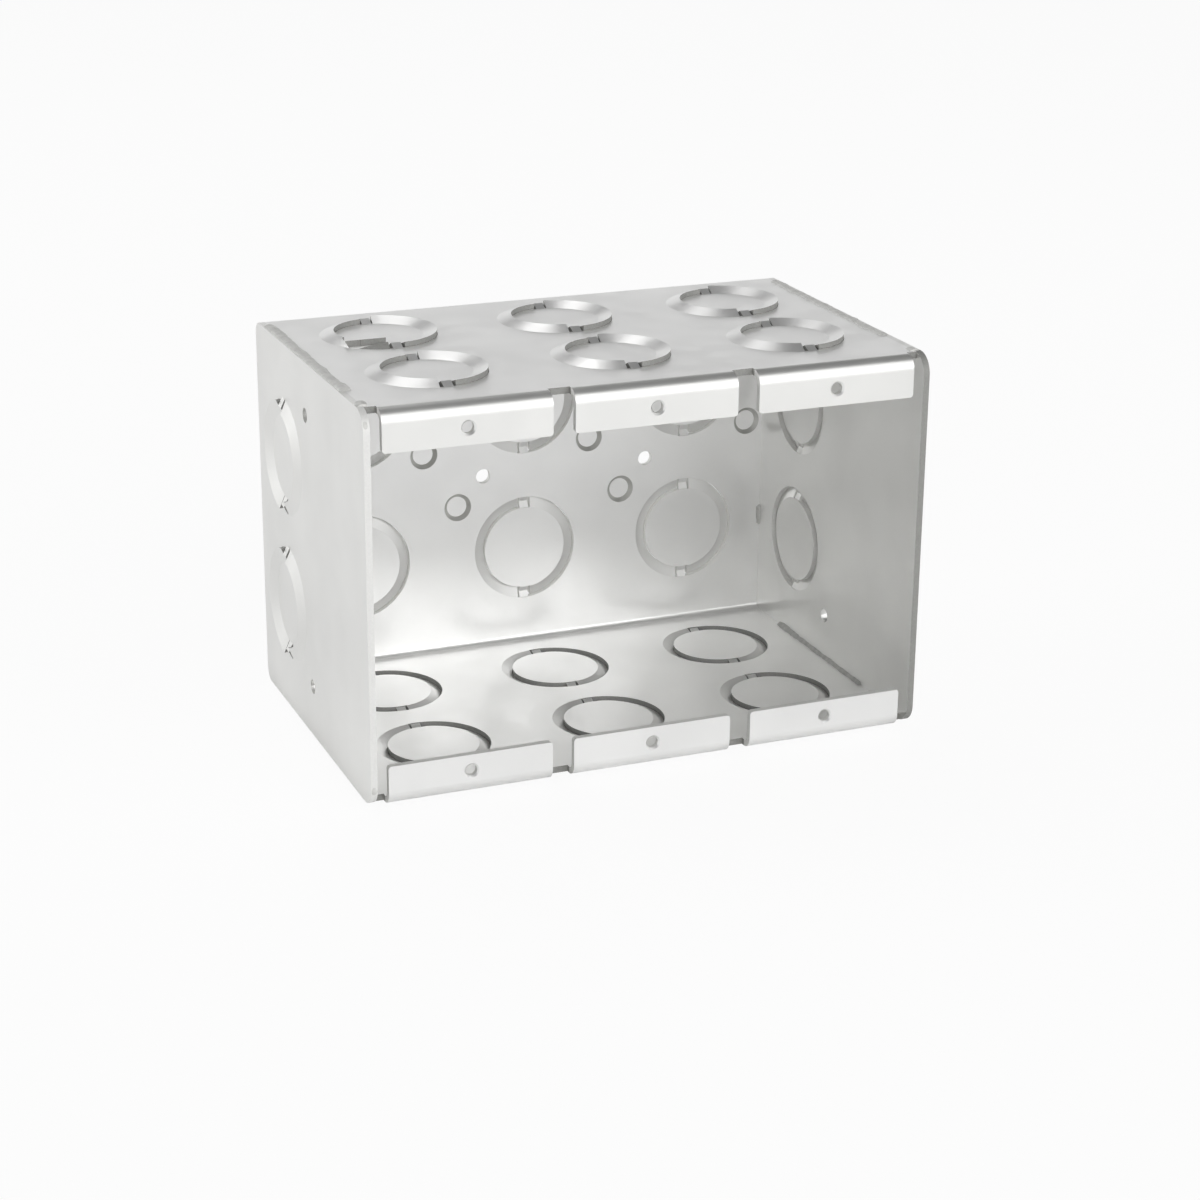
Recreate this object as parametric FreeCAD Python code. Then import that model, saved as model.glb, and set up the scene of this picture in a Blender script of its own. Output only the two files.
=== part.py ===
# Three-gang flush back box: a folded sheet-steel trough with two flat end plates welded on.
# Frame: X is the width, Y the depth (the open front faces -Y) and Z the height. The box is drawn
# about its own sheet faces and moved at the end, so that Z = 0 is the foot of the base knockouts.
# All lengths in millimetres, all angles in degrees.
import FreeCAD, Part
from FreeCAD import Base
import math
import os

os.makedirs("parts", exist_ok=True)

# Sheet and folds
sheet = 1.6
bend_inside = 1.6
bend_outside = bend_inside + sheet

# Gangs and the device tabs folded in at the front
gang_count = 3
gang_pitch = 46.04
tab_gap = 5.4
tab_width = gang_pitch - tab_gap
tab_height = 10.0
tab_corner = 0.8
tab_notch_reach = 1.0
device_screw_spacing = 83.34
device_screw_bore = 2.9
device_screw_mouth = 3.7

# Overall box: the gangs set the width and the device screws set the height
end_margin = 4.29
screw_margin = 5.955
box_width = gang_count * gang_pitch - tab_gap + 2 * end_margin
box_depth = 88.9
box_height = device_screw_spacing + 2 * screw_margin

# Concentric knockouts: a flush centre disc in a ring that is pressed outwards
ko_disc_radius = 11.1
ko_ring_radius = 14.1
ko_press = 1.3
ko_shear_gap = 0.12
ko_hinge_spread = 0.6
ko_tie_width = 2.4
ko_tie_crown = 1.0
ko_tie_gap = 0.35

# Knockout positions
floor_ko_front = 28.0
floor_ko_pitch = 36.7
back_ko_offset = 20.1
end_ko_from_front = 65.3
end_ko_offset = 19.05

# Slot with a lifted lip, where a screwdriver starts the rear left knockout in the top
pry_slot_length = 9.8
pry_slot_width = 3.4
pry_slot_offset = 6.0
pry_slot_inset = 2.4
pry_lip_run = 4.0

# Fixing holes and outward dimples in the back
fixing_hole = 3.9
fixing_hole_offset = 11.5
fixing_hole_rise = 0.9
dimple_mouth = 7.4
dimple_press = 1.0
dimple_side_angle = 45.0
upper_dimple_x = 18.3
upper_dimple_z = 8.3
lower_dimple_x = -18.6
lower_dimple_z = -6.9

# Small holes in the end plates
end_hole = 3.6
end_hole_from_front = 46.5
end_hole_offset = 34.5
end_plate_corner = 5.0

# Weld beads that close the seams between the trough and the end plates
bead_width = 2.6
bead_height = 0.45
bead_front = 21.0
bead_back = 7.0
tack_length = 2.4

half_width = box_width / 2.0
half_depth = box_depth / 2.0
mid_height = box_height / 2.0
gang_centres = [gang_pitch * (i - (gang_count - 1) / 2.0) for i in range(gang_count)]


def vec(x, y, z):
    return Base.Vector(x, y, z)


def block(x0, y0, z0, x1, y1, z1):
    return Part.makeBox(x1 - x0, y1 - y0, z1 - z0, vec(x0, y0, z0))


def rod(radius, length, base, axis):
    return Part.makeCylinder(radius, length, base, axis)


def rounded_outline(y0, z0, y1, z1, front, back):
    """Closed wire in the YZ plane with its own corner radius at the front and at the back."""
    k = math.sqrt(0.5)
    corners = [
        (y0, z0, front, 1, 1),
        (y1, z0, back, -1, 1),
        (y1, z1, back, -1, -1),
        (y0, z1, front, 1, -1),
    ]
    edges = []
    points = []
    for index, (y, z, r, sy, sz) in enumerate(corners):
        along_y = vec(0, y + sy * r, z)
        along_z = vec(0, y, z + sz * r)
        mid = vec(0, y + sy * r * (1 - k), z + sz * r * (1 - k))
        if index in (0, 2):
            points.append((along_z, mid, along_y))
        else:
            points.append((along_y, mid, along_z))
    for index in range(4):
        start, mid, end = points[index]
        edges.append(Part.Arc(start, mid, end).toShape())
        edges.append(Part.makeLine(end, points[(index + 1) % 4][0]))
    return Part.Wire(edges)


def prism(wire, x0, x1):
    solid = Part.Face(wire).extrude(vec(x1 - x0, 0, 0))
    solid.translate(vec(x0, 0, 0))
    return solid


def sector(profile, start, end):
    """Solid swept about Z between two angles from a closed profile in radius and height."""
    pts = [vec(r, 0, z) for r, z in profile]
    face = Part.Face(Part.makePolygon(pts + [pts[0]]))
    solid = face.revolve(vec(0, 0, 0), vec(0, 0, 1), end - start)
    solid.rotate(vec(0, 0, 0), vec(0, 0, 1), start)
    return solid


def half_angle(width, radius):
    return math.degrees(math.asin(width / 2.0 / radius))


def knockout_insert():
    """Disc, ring halves and ties, outer panel face at z = 0, sheet below it.

    The half on the -x side hangs on the panel and lifts towards the disc. The half on the
    +x side hangs on the disc and lifts towards the panel. The ties lie on the y axis.
    """
    inner = ko_disc_radius
    outer = ko_ring_radius
    disc = rod(inner, sheet, vec(0, 0, -sheet), vec(0, 0, 1))
    gap = ko_tie_width / 2.0 + ko_tie_gap
    free = half_angle(2 * gap, inner)
    panel_half = [
        (outer + ko_hinge_spread, 0.0),
        (inner + ko_shear_gap, ko_press),
        (inner + ko_shear_gap, ko_press - sheet),
        (outer - ko_shear_gap, -sheet),
        (outer + ko_hinge_spread, -sheet),
    ]
    disc_half = [
        (inner - ko_hinge_spread, 0.0),
        (outer - ko_shear_gap, ko_press),
        (outer - ko_shear_gap, ko_press - sheet),
        (inner + ko_shear_gap, -sheet),
        (inner - ko_hinge_spread, -sheet),
    ]
    left = sector(panel_half, 90 + free, 270 - free)
    right = sector(disc_half, -90 + free, 90 - free)
    mid = (inner + outer) / 2.0
    reach_in = inner - ko_hinge_spread
    reach_out = outer + ko_hinge_spread
    crown = [
        (reach_in, 0.0),
        (mid, ko_tie_crown),
        (reach_out, 0.0),
        (reach_out, -sheet),
        (mid, ko_tie_crown - sheet),
        (reach_in, -sheet),
    ]
    ties = []
    for sign in (1, -1):
        pts = [vec(-ko_tie_width / 2.0, sign * r, z) for r, z in crown]
        face = Part.Face(Part.makePolygon(pts + [pts[0]]))
        ties.append(face.extrude(vec(ko_tie_width, 0, 0)))
    return disc.multiFuse([left, right] + ties)


knockout = knockout_insert()
knockout_hole = rod(ko_ring_radius, 3 * sheet, vec(0, 0, -2 * sheet), vec(0, 0, 1))


def placed(shape, origin, x_axis, outward):
    """Copy of a shape whose x and z axes are turned to the given directions."""
    x = vec(*x_axis)
    z = vec(*outward)
    rotation = FreeCAD.Rotation(x, z.cross(x), z, "ZXY")
    copy = shape.copy()
    copy.Placement = FreeCAD.Placement(vec(*origin), rotation)
    return copy


def fit_knockouts(panel, spots):
    """Cut the ring circles out of a panel and put the tied knockouts back in."""
    holes = [placed(knockout_hole, *spot) for spot in spots]
    inserts = [placed(knockout, *spot) for spot in spots]
    return panel.cut(Part.makeCompound(holes)).multiFuse(inserts)


def save(shape, name):
    """Check that a piece is one solid, stand it on its pressed knockouts and write it."""
    solids = shape.removeSplitter().Solids
    if len(solids) != 1:
        raise ValueError("%s: expected one solid, got %d" % (name, len(solids)))
    piece = solids[0]
    piece.translate(vec(0, -ko_press / 2.0, ko_press))
    piece.exportStep("parts/%s.step" % name)


# Folded trough: top, back and base in one sheet, with the device tabs at its front edges
trough_left = -half_width + sheet
trough_right = half_width - sheet
outside = rounded_outline(-half_depth, 0, half_depth, box_height, bend_outside, bend_outside)
inside = rounded_outline(
    -half_depth + sheet, sheet, half_depth - sheet, box_height - sheet, bend_inside, bend_inside
)
trough = prism(outside, trough_left, trough_right).cut(prism(inside, trough_left, trough_right))

# The front opening between the upper and the lower tabs
trough = trough.cut(
    block(
        trough_left - 1, -half_depth - 1, tab_height,
        trough_right + 1, -half_depth + sheet + bend_inside / 2.0, box_height - tab_height,
    )
)

# Notches between the tabs and beside the end plates, cut back past the bends
notch_end = -half_depth + bend_outside + tab_notch_reach
notch_spans = [(trough_left - 1, gang_centres[0] - tab_width / 2.0)]
for left_gang, right_gang in zip(gang_centres, gang_centres[1:]):
    notch_spans.append((left_gang + tab_width / 2.0, right_gang - tab_width / 2.0))
notch_spans.append((gang_centres[-1] + tab_width / 2.0, trough_right + 1))
cutters = []
for x0, x1 in notch_spans:
    for z0, z1 in ((-1, tab_height + 1), (box_height - tab_height - 1, box_height + 1)):
        cutters.append(block(x0, -half_depth - 1, z0, x1, notch_end, z1))

# Rounded corners at the free edges of the tabs
for centre in gang_centres:
    for side in (-1, 1):
        edge = centre + side * tab_width / 2.0
        for z, towards in ((tab_height, -1), (box_height - tab_height, 1)):
            square = block(
                min(edge, edge - side * tab_corner), -half_depth - 1, min(z, z + towards * tab_corner),
                max(edge, edge - side * tab_corner), -half_depth + bend_outside,
                max(z, z + towards * tab_corner),
            )
            round_rod = rod(
                tab_corner, bend_outside + 4,
                vec(edge - side * tab_corner, -half_depth - 2, z + towards * tab_corner), vec(0, 1, 0),
            )
            cutters.append(square.cut(round_rod))

# Tapped device screw holes in the tabs, eased where the screw enters
mouth_depth = (device_screw_mouth - device_screw_bore) / 2.0
for centre in gang_centres:
    for side in (-1, 1):
        z = mid_height + side * device_screw_spacing / 2.0
        cutters.append(rod(device_screw_bore / 2.0, 3 * sheet, vec(centre, -half_depth - 1, z), vec(0, 1, 0)))
        cutters.append(
            Part.makeCone(
                device_screw_mouth / 2.0, device_screw_bore / 2.0, mouth_depth,
                vec(centre, -half_depth, z), vec(0, 1, 0),
            )
        )

# Fixing holes and dimples in the back. A dimple is drawn outwards and keeps the sheet's thickness.
dimple_run = dimple_press / math.tan(math.radians(dimple_side_angle))
dimple_offset = sheet * math.tan(math.radians(dimple_side_angle) / 2.0)
bosses = []
for centre in gang_centres:
    cutters.append(
        rod(
            fixing_hole / 2.0, 3 * sheet,
            vec(centre - fixing_hole_offset, half_depth - 2 * sheet, mid_height + fixing_hole_rise), vec(0, 1, 0),
        )
    )
    for dx, dz in ((upper_dimple_x, upper_dimple_z), (lower_dimple_x, lower_dimple_z)):
        mouth = vec(centre + dx, half_depth - sheet, mid_height + dz)
        foot = vec(centre + dx, half_depth, mid_height + dz)
        radius = dimple_mouth / 2.0
        cutters.append(
            Part.makeCone(radius, radius - dimple_run, dimple_press, mouth, vec(0, 1, 0))
        )
        bosses.append(
            Part.makeCone(
                radius + dimple_offset, radius + dimple_offset - dimple_run, dimple_press, foot, vec(0, 1, 0)
            )
        )
trough = trough.multiFuse(bosses)
trough = trough.cut(Part.makeCompound(cutters))

# Knockouts in the top, the base and the back
trough_spots = []
for centre in gang_centres:
    for row in (0, 1):
        y = -half_depth + floor_ko_front + row * floor_ko_pitch
        trough_spots.append(((centre, y, box_height), (1, 0, 0), (0, 0, 1)))
        trough_spots.append(((centre, y, 0), (1, 0, 0), (0, 0, -1)))
    for side in (-1, 1):
        trough_spots.append(
            ((centre, half_depth, mid_height + side * back_ko_offset), (1, 0, 0), (0, 1, 0))
        )
trough = fit_knockouts(trough, trough_spots)

# Screwdriver slot through the front of the rear left knockout in the top. The metal behind it is
# lifted to the height of the pressed ring, and the shear line of the disc runs on through it.
slot_left = gang_centres[0] - pry_slot_offset - pry_slot_length / 2.0
slot_right = slot_left + pry_slot_length
knockout_y = -half_depth + floor_ko_front + floor_ko_pitch
slot_front = knockout_y - ko_ring_radius + pry_slot_inset
slot_back = slot_front + pry_slot_width
lip_end = slot_back + pry_lip_run
lip_profile = [
    (slot_back, box_height + ko_press),
    (lip_end, box_height),
    (lip_end, box_height - sheet),
    (slot_back, box_height + ko_press - sheet),
]
pts = [vec(slot_left, y, z) for y, z in lip_profile]
lip = Part.Face(Part.makePolygon(pts + [pts[0]])).extrude(vec(pry_slot_length, 0, 0))
shear_base = vec(gang_centres[0], knockout_y, box_height - 2 * sheet)
shear_line = rod(ko_disc_radius + ko_shear_gap, 4 * sheet, shear_base, vec(0, 0, 1)).cut(
    rod(ko_disc_radius, 4 * sheet, shear_base, vec(0, 0, 1))
)
room = block(slot_left, slot_front, box_height - 2 * sheet, slot_right, lip_end, box_height + 2 * sheet)
trough = trough.cut(room).fuse(lip.cut(shear_line))
save(trough, "trough")


def end_plate(side):
    """Flat plate that covers one end of the trough, with the beads along its seams."""
    outer_face = side * half_width
    inner_face = side * (half_width - sheet)
    outline = rounded_outline(
        -half_depth, 0, half_depth, box_height, end_plate_corner, bend_outside
    )
    plate = prism(outline, min(outer_face, inner_face), max(outer_face, inner_face))
    holes = []
    for up in (-1, 1):
        z = mid_height + up * end_hole_offset
        y = -half_depth + end_hole_from_front
        holes.append(rod(end_hole / 2.0, 4 * sheet, vec(outer_face - 2 * sheet, y, z), vec(1, 0, 0)))
    plate = plate.cut(Part.makeCompound(holes))
    spots = []
    for up in (-1, 1):
        z = mid_height + up * end_ko_offset
        y = -half_depth + end_ko_from_front
        spots.append(((outer_face, y, z), (0, 1, 0), (side, 0, 0)))
    plate = fit_knockouts(plate, spots)
    bead_radius = (bead_width ** 2 / 4.0 + bead_height ** 2) / (2 * bead_height)
    beads = []
    for z, up in ((box_height, 1), (0, -1)):
        centre_z = z + up * (bead_height - bead_radius)
        keep = block(
            inner_face - bead_width, -half_depth, min(z, z + up * 2 * bead_height),
            inner_face + bead_width, half_depth, max(z, z + up * 2 * bead_height),
        )
        tack_start = max(bend_outside + tab_notch_reach, end_plate_corner)
        for start, length in ((tack_start, tack_length), (bead_front, box_depth - bead_front - bead_back)):
            bar = rod(bead_radius, length, vec(inner_face, -half_depth + start, centre_z), vec(0, 1, 0))
            beads.append(bar.common(keep))
    return plate.multiFuse(beads)


save(end_plate(-1), "left_end_plate")
save(end_plate(1), "right_end_plate")
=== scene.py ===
import math

import bpy
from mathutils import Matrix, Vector


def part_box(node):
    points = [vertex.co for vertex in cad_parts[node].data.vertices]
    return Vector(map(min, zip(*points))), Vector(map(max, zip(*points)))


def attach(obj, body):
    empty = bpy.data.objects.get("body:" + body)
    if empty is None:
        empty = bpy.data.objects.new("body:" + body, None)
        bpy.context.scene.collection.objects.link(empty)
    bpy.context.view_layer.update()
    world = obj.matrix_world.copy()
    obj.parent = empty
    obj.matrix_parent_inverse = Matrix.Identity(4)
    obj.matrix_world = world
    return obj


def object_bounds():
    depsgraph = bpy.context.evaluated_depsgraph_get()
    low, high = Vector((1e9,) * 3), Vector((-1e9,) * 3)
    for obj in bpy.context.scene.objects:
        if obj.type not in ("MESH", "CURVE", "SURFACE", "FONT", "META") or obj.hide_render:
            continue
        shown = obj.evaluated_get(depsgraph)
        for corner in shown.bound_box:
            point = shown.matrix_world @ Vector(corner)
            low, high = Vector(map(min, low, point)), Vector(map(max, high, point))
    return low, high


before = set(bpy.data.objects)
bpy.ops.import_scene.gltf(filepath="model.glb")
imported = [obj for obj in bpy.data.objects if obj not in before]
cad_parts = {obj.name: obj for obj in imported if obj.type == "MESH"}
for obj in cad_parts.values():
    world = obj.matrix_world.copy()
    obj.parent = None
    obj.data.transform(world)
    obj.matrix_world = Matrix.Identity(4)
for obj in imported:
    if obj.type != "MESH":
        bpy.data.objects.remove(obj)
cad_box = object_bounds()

# The trough: one piece of hot-dip galvanised sheet steel, 1.6 mm thick, blanked and
# folded into the top, the back and the base of the box with its six device tabs.
# Knockouts, fixing holes and dimples are punched in it before it is folded.
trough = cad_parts["trough"]


def linear(hex_colour):
    """sRGB hex to linear RGBA."""
    parts = [int(hex_colour[i:i + 2], 16) / 255 for i in (1, 3, 5)]
    return [c / 12.92 if c <= 0.04045 else ((c + 0.055) / 1.055) ** 2.4 for c in parts] + [1.0]


def add(material, kind, settings=None, links=None, **choices):
    """Add a node with its choices, its socket settings and its links."""
    node = material.node_tree.nodes.new(kind)
    for name, value in choices.items():
        setattr(node, name, value)
    for socket, value in (settings or {}).items():
        node.inputs[socket].default_value = value
    for socket, source in (links or {}).items():
        material.node_tree.links.new(source, node.inputs[socket])
    return node


# Hot-dip galvanised steel, skin-passed: a bright grey zinc metal with a soft, slightly
# cloudy reflection. Lines from the roll run along the sheet, and the zinc crystals
# (spangle) change the gloss a little from one to the next. The real lines are finer than
# 0.1 mm: they are drawn 0.9 mm wide here, which is as coarse as they need to show.
zinc_bright = linear("#F9F9F8")
zinc_cloud = linear("#F3F3F2")
roll_line_width = 0.9
roll_line_length = 45.0
spangle_size = 5.5
cloud_size = 28.0


def galvanised(name, roll_axis, bright, cloud, haze_share):
    steel = bpy.data.materials.new(name)
    steel.use_nodes = True
    steel.node_tree.nodes.clear()
    place = add(steel, "ShaderNodeTexCoord")
    stretch = [1000 / roll_line_width] * 3
    stretch[roll_axis] = 1000 / roll_line_length
    along = add(steel, "ShaderNodeMapping", {"Scale": stretch}, {"Vector": place.outputs["Object"]})
    lines = add(
        steel, "ShaderNodeTexNoise", {"Scale": 1.0, "Detail": 3.0, "Roughness": 0.6},
        {"Vector": along.outputs["Vector"]},
    )
    spangle = add(
        steel, "ShaderNodeTexVoronoi", {"Scale": 1000 / spangle_size, "Randomness": 1.0},
        {"Vector": place.outputs["Object"]}, feature="F1",
    )
    crystal = add(steel, "ShaderNodeSeparateColor", links={"Color": spangle.outputs["Color"]})
    clouds = add(
        steel, "ShaderNodeTexNoise", {"Scale": 1000 / cloud_size, "Detail": 2.0, "Roughness": 0.5},
        {"Vector": place.outputs["Object"]},
    )
    cloud_mix = add(
        steel, "ShaderNodeMapRange", {"From Min": 0.35, "From Max": 0.65},
        {"Value": clouds.outputs["Fac"]},
    )
    tone = add(
        steel, "ShaderNodeMix", {"A": bright, "B": cloud}, {"Factor": cloud_mix.outputs["Result"]},
        data_type="RGBA",
    )
    gloss = add(
        steel, "ShaderNodeMapRange", {"To Min": 0.27, "To Max": 0.32},
        {"Value": crystal.outputs["Red"]},
    )
    gloss_lines = add(
        steel, "ShaderNodeMath", {1: 0.05}, {0: lines.outputs["Fac"]}, operation="MULTIPLY"
    )
    rough = add(
        steel, "ShaderNodeMath", links={0: gloss.outputs["Result"], 1: gloss_lines.outputs["Value"]},
        operation="ADD",
    )
    grain = add(
        steel, "ShaderNodeBump", {"Strength": 0.10, "Distance": 0.00001},
        {"Height": lines.outputs["Fac"]},
    )
    clear = add(
        steel, "ShaderNodeBsdfPrincipled", {"Metallic": 1.0},
        {"Base Color": tone.outputs["Result"], "Roughness": rough.outputs["Value"],
         "Normal": grain.outputs["Normal"]},
    )
    haze = add(
        steel, "ShaderNodeBsdfPrincipled", {"Metallic": 1.0, "Roughness": 0.7},
        {"Base Color": tone.outputs["Result"], "Normal": grain.outputs["Normal"]},
    )
    shader = add(
        steel, "ShaderNodeMixShader", {0: haze_share},
        {1: clear.outputs["BSDF"], 2: haze.outputs["BSDF"]},
    )
    add(steel, "ShaderNodeOutputMaterial", links={"Surface": shader.outputs["Shader"]})
    return steel


trough.data.materials[0] = galvanised("galvanised_trough_sheet", 0, zinc_bright, zinc_cloud, 0.35)


# The sheet is galvanised before it is cut, so every cut edge is bare sheared steel: bright
# where the punch went in, from the inside of the box, and a grey, rough break outside. It
# looks dull and speckled. The grain of the break is really near 0.1 mm and drawn coarser.
def sheared(name, lip, break_tone):
    edge = bpy.data.materials.new(name)
    edge.use_nodes = True
    edge.node_tree.nodes.clear()
    place = add(edge, "ShaderNodeTexCoord")
    torn_size = 0.5
    torn = add(
        edge, "ShaderNodeTexNoise", {"Scale": 1000 / torn_size, "Detail": 2.0, "Roughness": 0.6},
        {"Vector": place.outputs["Object"]},
    )
    tone = add(
        edge, "ShaderNodeMix", {"A": break_tone, "B": lip},
        {"Factor": torn.outputs["Fac"]}, data_type="RGBA",
    )
    shader = add(
        edge, "ShaderNodeBsdfPrincipled", {"Metallic": 0.3, "Roughness": 0.6},
        {"Base Color": tone.outputs["Result"]},
    )
    add(edge, "ShaderNodeOutputMaterial", links={"Surface": shader.outputs["BSDF"]})
    return edge


# The cut walls of the trough stand square to its sheet: in the top and the base they
# face sideways, in the back and the tabs up, down or sideways, and in the folds along X.
# The cut walls in the top and the base take a dark copy of the bare steel, as painted shade
# in the knockout and hole walls. The sloped faces in front of the pry slot take it too, as
# painted shade of the slot's opening. Where the rings and dimples in the back are drawn out,
# the zinc is hazier. The dimples in the back also take a darker copy of the zinc, as painted
# shade in their hollows, and the top tabs a slightly darker copy, as painted shade.
trough_low, trough_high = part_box("trough")
fold = 0.0034
press = 0.0013
gang_pitch = 0.04604
knockout_rise = 0.0201
knockout_reach = 0.0148
# The patch in front of the pry slot whose sloped faces are darkened as painted shade of the slot's
# opening.
slot_shade_patch = (-0.0570, 0.0045, -0.0470, 0.0080)
for skin in (
    sheared("burnished_trough_edge", linear("#F0F0EE"), linear("#DEDEDB")),
    sheared("trough_edge_painted_shade", linear("#A8A8A5"), linear("#8C8C89")),
    galvanised("galvanised_drawn_ring", 0, zinc_bright, zinc_cloud, 0.8),
    galvanised("galvanised_dimple_painted_shade", 0, linear("#D8D8D5"), linear("#D0D0CD"), 0.4),
    galvanised("galvanised_top_tabs_painted_shade", 0, linear("#F5F5F3"), linear("#EFEFED"), 0.35),
):
    trough.data.materials.append(skin)
sheet, burnished, shaded_edge, drawn_ring, shaded_dimple, shaded_top_tab = range(6)
across_sheet = 0.3
off_flat = 0.99
middle_height = (trough_low.z + trough_high.z) / 2
for face in trough.data.polygons:
    x, y, z = face.center
    nx, ny, nz = (abs(c) for c in face.normal)
    in_top_or_base = z < trough_low.z + press + fold or z > trough_high.z - press - fold
    in_front = y < trough_low.y + fold
    in_back = y > trough_high.y - press - fold
    on_top = z > middle_height
    finish = sheet
    if in_top_or_base and (in_front or in_back):
        if nx > 0.7:
            finish = burnished
        # The top tabs take a slightly darker copy of the zinc, as painted shade.
        elif in_front and on_top:
            finish = shaded_top_tab
    elif in_top_or_base:
        x0, y0, x1, y1 = slot_shade_patch
        slot_shade = on_top and nz < off_flat and x0 < x < x1 and y0 < y < y1
        # Cut walls here, and the sloped faces in the slot patch, take the dark copy as painted shade.
        if nz < across_sheet or slot_shade:
            finish = shaded_edge
    elif ny < across_sheet:
        finish = burnished
    elif in_back and ny < off_flat:
        gang = round(x / gang_pitch) * gang_pitch
        rise = abs(z - middle_height) - knockout_rise
        near_knockout = math.hypot(x - gang, rise) < knockout_reach
        # Dimples take a darker copy of the zinc, as painted shade in their hollows; the rings only a
        # hazier one.
        finish = drawn_ring if near_knockout else shaded_dimple
    # The top tabs take a slightly darker copy of the zinc, as painted shade.
    elif in_front and on_top and face.normal.y < -0.9:
        finish = shaded_top_tab
    face.material_index = finish

# The end plates: two flat blanks of the same galvanised sheet. Each is laid over one end
# of the trough, flush with its top, back and base, and welded along the seams. The walls of
# the small holes are smeared with zinc, and the other cut walls are bare sheared steel.
small_hole_y = 0.0014
small_hole_rise = 0.0345
small_hole_reach = 0.0022
rim = 0.006
plate_haze = 0.25
front_edge, cut_wall, burnt_bead = 1, 2, 3
# The same bare sheared steel is set in lit and shaded copies here: the left plate's front edge is
# bright as a painted highlight and its other cut walls dark as painted shade, while the right plate's
# front edge is dark as painted shade and its other cut walls bright as painted light. The right plate's
# sheet is also set a touch darker than the left's.
for side, bright, cloud, front_lip, front_break, wall_lip, wall_break in (
    ("left_end_plate", "#EEEEEC", "#E8E8E6", "#EEEEEC", "#E2E2E0", "#A8A8A5", "#8C8C89"),
    ("right_end_plate", "#EBEBE9", "#E4E4E2", "#A4A4A1", "#8C8C89", "#F0F0EE", "#DEDEDB"),
):
    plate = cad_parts[side]
    plate.data.materials[0] = galvanised(
        "galvanised_" + side, 2, linear(bright), linear(cloud), plate_haze
    )
    plate.data.materials.append(sheared("front_edge_" + side, linear(front_lip), linear(front_break)))
    plate.data.materials.append(sheared("cut_wall_" + side, linear(wall_lip), linear(wall_break)))
    plate_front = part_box(side)[0].y
    for face in plate.data.polygons:
        off_middle = abs(face.center.z - middle_height)
        in_small_hole = (
            math.hypot(face.center.y - small_hole_y, off_middle - small_hole_rise) < small_hole_reach
        )
        cut = abs(face.normal.x) < across_sheet and not in_small_hole
        at_front = face.center.y < plate_front + rim
        inside_rim = abs(face.center.y) < -plate_front - rim and off_middle < middle_height - rim
        finish = sheet
        if cut and at_front:
            finish = front_edge
        elif cut and inside_rim:
            finish = cut_wall
        face.material_index = finish


# The weld beads: short MIG runs of steel along the top seams, inside the lower right seam
# and as tacks at the corners, laid by hand, so their width and height wander. They are one
# metal with the plates, and the heat burns their zinc, which looks a dull, blotchy grey.
def burnt_zinc(name, dark, light):
    skin = bpy.data.materials.new(name)
    skin.use_nodes = True
    skin.node_tree.nodes.clear()
    place = add(skin, "ShaderNodeTexCoord")
    blotch_size = 2.2
    blotches = add(
        skin, "ShaderNodeTexNoise", {"Scale": 1000 / blotch_size, "Detail": 3.0, "Roughness": 0.6},
        {"Vector": place.outputs["Object"]},
    )
    blotch_mix = add(
        skin, "ShaderNodeMapRange", {"From Min": 0.35, "From Max": 0.65},
        {"Value": blotches.outputs["Fac"]},
    )
    tone = add(
        skin, "ShaderNodeMix", {"A": dark, "B": light}, {"Factor": blotch_mix.outputs["Result"]},
        data_type="RGBA",
    )
    shader = add(
        skin, "ShaderNodeBsdfPrincipled", {"Metallic": 0.2, "Roughness": 0.55},
        {"Base Color": tone.outputs["Result"]},
    )
    add(skin, "ShaderNodeOutputMaterial", links={"Surface": shader.outputs["BSDF"]})
    return skin


def weld(name, skin, runs):
    """Beads along straight runs in mm: start, end, the way a bead stands up, width, height."""
    around = 9
    step_length = 0.7
    fewest_steps = 8
    sink = 0.05
    end_length = 1.2
    end_width = 0.25
    width_wander, height_wander, side_wander = 0.06, 0.10, 0.06
    points = []
    faces = []
    for run, (start, end, up, width, height) in enumerate(runs):
        start, end, up = Vector(start), Vector(end), Vector(up).normalized()
        along = end - start
        side = along.normalized().cross(up)
        steps = max(fewest_steps, round(along.length / step_length))
        first = len(points)
        for step in range(steps + 1):
            share = step / steps
            at = share * along.length + 7.3 * run
            # Waves about 8, 3.3 and 1.7 mm long, as the hand moves the torch.
            wander = math.sin(0.8 * at + 2 * run) + 0.6 * math.sin(1.9 * at)
            wander += 0.3 * math.sin(3.7 * at + run)
            taper = math.sqrt(max(0.0, 1 - abs(2 * share - 1) ** (along.length / end_length)))
            w = width / 2 * (1 + width_wander * wander) * (end_width + (1 - end_width) * taper)
            h = height * (1 + height_wander * wander) * taper
            drift = side_wander * width * math.sin(0.45 * at + run)
            for i in range(around):
                turn = math.pi * i / (around - 1)
                place = start + along * share + side * (w * math.cos(turn) + drift)
                place = place + up * (h * math.sin(turn) - sink)
                points.append(place / 1000)
        for step in range(steps):
            for i in range(around - 1):
                a = first + step * around + i
                faces.append((a, a + around, a + around + 1, a + 1))
    mesh = bpy.data.meshes.new(name)
    mesh.from_pydata(points, [], faces)
    mesh.polygons.foreach_set("use_smooth", [True] * len(mesh.polygons))
    mesh.materials.append(skin)
    beads = bpy.data.objects.new(name, mesh)
    bpy.context.scene.collection.objects.link(beads)
    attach(beads, "root")


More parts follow.
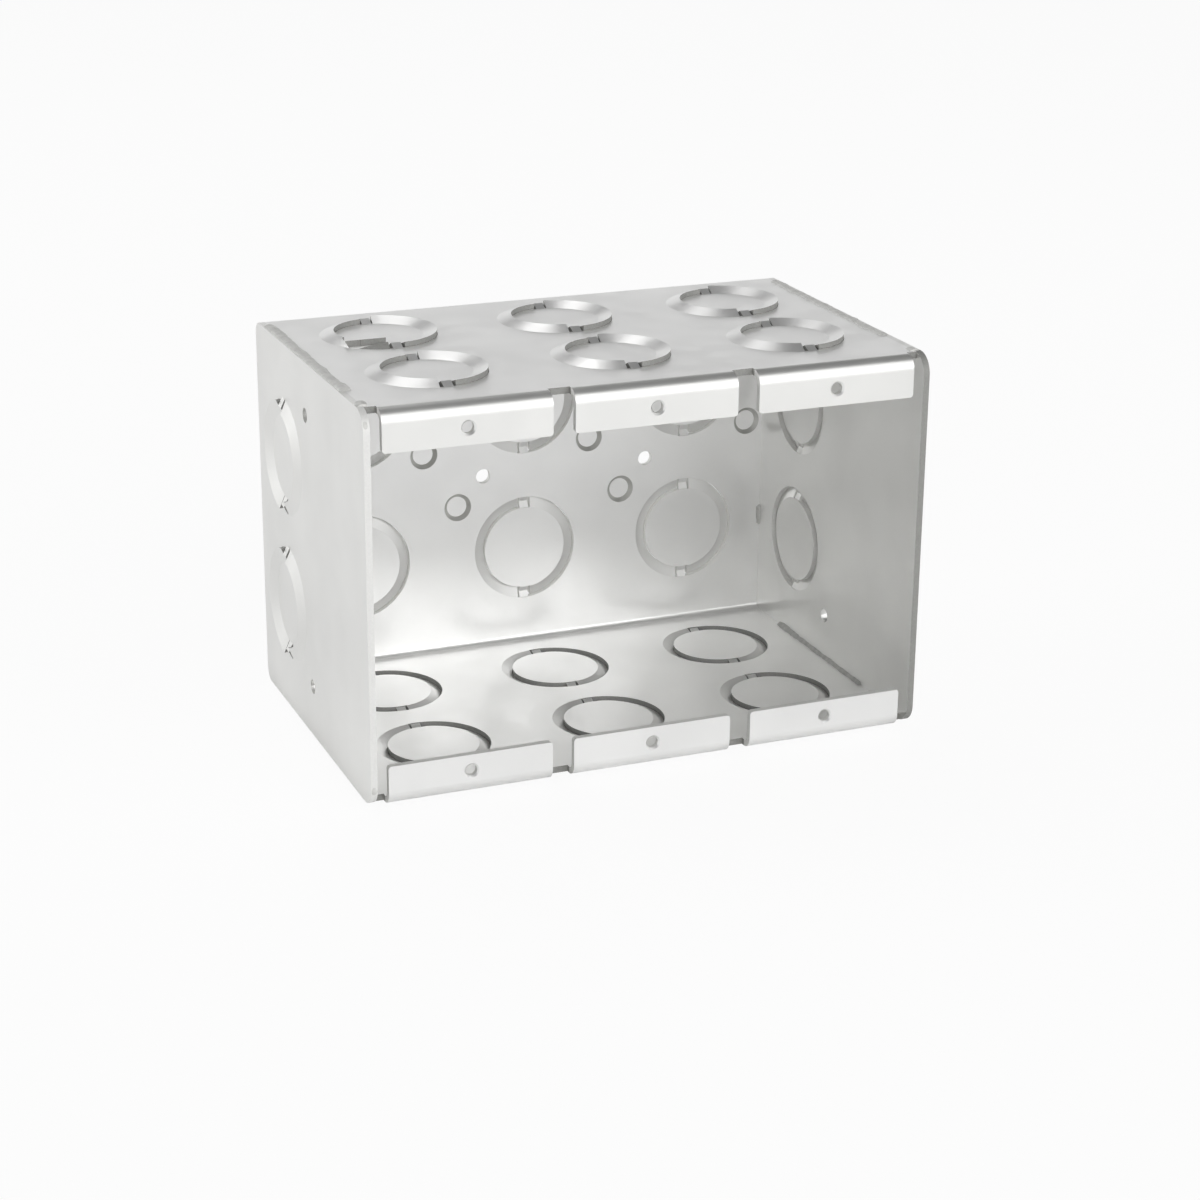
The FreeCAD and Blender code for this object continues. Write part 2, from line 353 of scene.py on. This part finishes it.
up = (0, 0, 1)
left, right = 1000 * trough_low.x, 1000 * trough_high.x
base, top = 1000 * (trough_low.z + press), 1000 * (trough_high.z - press)
edge_middle = left - 0.85
outer_skin = burnt_zinc("burnt_outer_weld", linear("#CECECB"), linear("#DEDEDB"))
weld("left_seam_beads", outer_skin, [
    ((left, -25, top), (left, 37, top), up, 2.65, 0.55),
    ((left + 0.3, -27, top), (left + 0.3, -21, top), up, 3.1, 0.85),
    ((left + 0.2, 25, top), (left + 0.2, 31, top), up, 3.0, 0.75),
    ((left, -40, top), (left, -36.5, top), up, 2.7, 0.65),
    ((edge_middle, -45.0, 92.5), (edge_middle, -44.15, 94.4), (0, -0.91, 0.42), 1.3, 0.25),
    ((edge_middle, -44.9, 4.7), (edge_middle, -45.05, 6.9), (0, -1, 0), 1.3, 0.25),
])
weld("right_seam_beads", outer_skin, [
    ((right, -25, top), (right, 37, top), up, 2.65, 0.5),
    ((right - 0.2, 23, top), (right - 0.2, 30, top), up, 2.9, 0.6),
])
# The plain beads that the frame has on its plates wear the same burnt skin.
past_face = 0.05
for side in ("left_end_plate", "right_end_plate"):
    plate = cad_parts[side]
    plate.data.materials.append(outer_skin)
    for face in plate.data.polygons:
        if not base - past_face < 1000 * face.center.z < top + past_face:
            face.material_index = burnt_bead
corner = (-1, 0, 1)
inner_base = base + 1.6
inner_back = 42.2
# The bead inside the lower right seam is the same burnt zinc set darker than the outer beads, as
# painted shade of the inner corner.
shaded_inner_skin = burnt_zinc("burnt_inner_weld_painted_shade", linear("#AEAEAB"), linear("#C6C6C3"))
weld("inner_seam_beads", shaded_inner_skin, [
    ((right, -21, inner_base), (right, 27, inner_base), corner, 2.8, 0.7),
    ((right, 15, inner_base), (right, 28, inner_base), corner, 3.3, 0.95),
    ((right, inner_back, 27.0), (right, inner_back, 33.0), (-1, -1, 0), 2.6, 0.9),
])

# The camera stands to the left and above the open front, with a long lens. Its angles are
# the tilt up from straight down, the roll and the turn about the upright, in degrees.
camera_data = bpy.data.cameras.new("camera")
camera_data.sensor_width = 36.0
camera_data.lens = 79.064
camera_data.shift_x = -0.0032
camera_data.shift_y = -0.0193
camera = bpy.data.objects.new("camera", camera_data)
camera.location = (-0.233737, -0.578876, 0.256438)
camera.rotation_euler = [math.radians(angle) for angle in (70.4290, -0.4913, -22.2807)]
bpy.context.scene.collection.objects.link(camera)
bpy.context.scene.camera = camera

# The floor: a plain white sweep. It stays white for the camera, and it keeps the soft
# shadow under the box, which the bright metal also shows.
floor_mesh = bpy.data.meshes.new("floor")
reach = 3.0
corners = [(-reach, -reach, 0), (reach, -reach, 0), (reach, reach, 0), (-reach, reach, 0)]
floor_mesh.from_pydata(corners, [], [(0, 1, 2, 3)])
floor = bpy.data.objects.new("floor", floor_mesh)
bpy.context.scene.collection.objects.link(floor)
paper = bpy.data.materials.new("white_paper")
paper.use_nodes = True
paper.node_tree.nodes.clear()
matt = add(paper, "ShaderNodeBsdfPrincipled", {"Base Color": linear("#FAFAFA"), "Roughness": 0.9})
white = add(paper, "ShaderNodeEmission", {"Color": linear("#FFFFFF"), "Strength": 1.0})
path = add(paper, "ShaderNodeLightPath")
# The glow in the metal ends where the box stands, so that the shadow under it stays dark.
seen_white = 0.93
metal_white = 0.50
shadow_edge = (-0.004, 0.006)
spot = add(paper, "ShaderNodeTexCoord")
off_centre = add(paper, "ShaderNodeVectorMath", links={0: spot.outputs["Object"]}, operation="ABSOLUTE")
past_box = add(
    paper, "ShaderNodeVectorMath", {1: (cad_box[1][0], -cad_box[0][1], 0)},
    {0: off_centre.outputs["Vector"]}, operation="SUBTRACT",
)
past = add(paper, "ShaderNodeSeparateXYZ", links={"Vector": past_box.outputs["Vector"]})
nearest = add(
    paper, "ShaderNodeMath", links={0: past.outputs["X"], 1: past.outputs["Y"]}, operation="MAXIMUM"
)
off_box = add(
    paper, "ShaderNodeMapRange", {"From Min": shadow_edge[0], "From Max": shadow_edge[1]},
    {"Value": nearest.outputs["Value"]}, interpolation_type="SMOOTHSTEP",
)
seen_in_metal = add(
    paper, "ShaderNodeMath", {1: metal_white}, {0: path.outputs["Is Glossy Ray"]}, operation="MULTIPLY"
)
metal_share = add(
    paper, "ShaderNodeMath",
    links={0: seen_in_metal.outputs["Value"], 1: off_box.outputs["Result"]}, operation="MULTIPLY",
)
glow = add(
    paper, "ShaderNodeMath", {1: seen_white},
    {0: path.outputs["Is Camera Ray"], 2: metal_share.outputs["Value"]}, operation="MULTIPLY_ADD",
)
blend = add(
    paper, "ShaderNodeMixShader",
    links={0: glow.outputs["Value"], 1: matt.outputs["BSDF"], 2: white.outputs["Emission"]},
)
add(paper, "ShaderNodeOutputMaterial", links={"Surface": blend.outputs["Shader"]})
floor_mesh.materials.append(paper)

# The studio: a white backdrop up to about a quarter of the way overhead, a grey room
# above it, and soft boxes overhead, in front, low at the front left and at the left.
world = bpy.data.worlds.new("studio")
bpy.context.scene.world = world
world.use_nodes = True
world.node_tree.nodes.clear()
direction = add(world, "ShaderNodeTexCoord")
height = add(world, "ShaderNodeSeparateXYZ", links={"Vector": direction.outputs["Generated"]})
backdrop_top = (0.37, 0.43)
above = add(
    world, "ShaderNodeMapRange", {"From Min": backdrop_top[0], "From Max": backdrop_top[1]},
    {"Value": height.outputs["Z"]}, interpolation_type="SMOOTHSTEP",
)
wall = add(
    world, "ShaderNodeMix", {"A": linear("#FAFAFA"), "B": linear("#505050")},
    {"Factor": above.outputs["Result"]}, data_type="RGBA",
)
room = add(world, "ShaderNodeBackground", {"Strength": 1.0}, {"Color": wall.outputs["Result"]})
backdrop = add(world, "ShaderNodeBackground", {"Color": linear("#FFFFFF"), "Strength": 1.0})
room_path = add(world, "ShaderNodeLightPath")
room_blend = add(
    world, "ShaderNodeMixShader",
    links={
        0: room_path.outputs["Is Camera Ray"],
        1: room.outputs["Background"],
        2: backdrop.outputs["Background"],
    },
)
add(world, "ShaderNodeOutputWorld", links={"Surface": room_blend.outputs["Shader"]})


def soft_box(name, width, height, place, aim, radiance):
    """A rectangular lamp whose face glows at the given radiance, where 1 is white."""
    lamp = bpy.data.lights.new(name, "AREA")
    lamp.shape = "RECTANGLE"
    lamp.size = width
    lamp.size_y = height
    lamp.energy = radiance * math.pi * width * height
    box = bpy.data.objects.new(name, lamp)
    box.visible_camera = False
    box.location = place
    box.rotation_euler = (Vector(aim) - Vector(place)).to_track_quat("-Z", "Y").to_euler()
    bpy.context.scene.collection.objects.link(box)


middle = (0, 0, 0.05)
soft_box("top_box", 0.65, 0.5, (-0.05, 0.83, 1.25), middle, 2.1)
soft_box("front_box", 2.9, 0.95, (0.33, -2.05, 0.75), middle, 1.7)
soft_box("low_box", 0.55, 0.35, (-0.62, -1.75, 0.52), middle, 1.4)
soft_box("high_box", 2.4, 1.0, (0.6, -1.3, 1.4), middle, 1.35)
soft_box("left_box", 1.4, 1.2, (-1.6, 0.7, 0.9), middle, 2.2)

bpy.context.scene.view_settings.view_transform = "Standard"
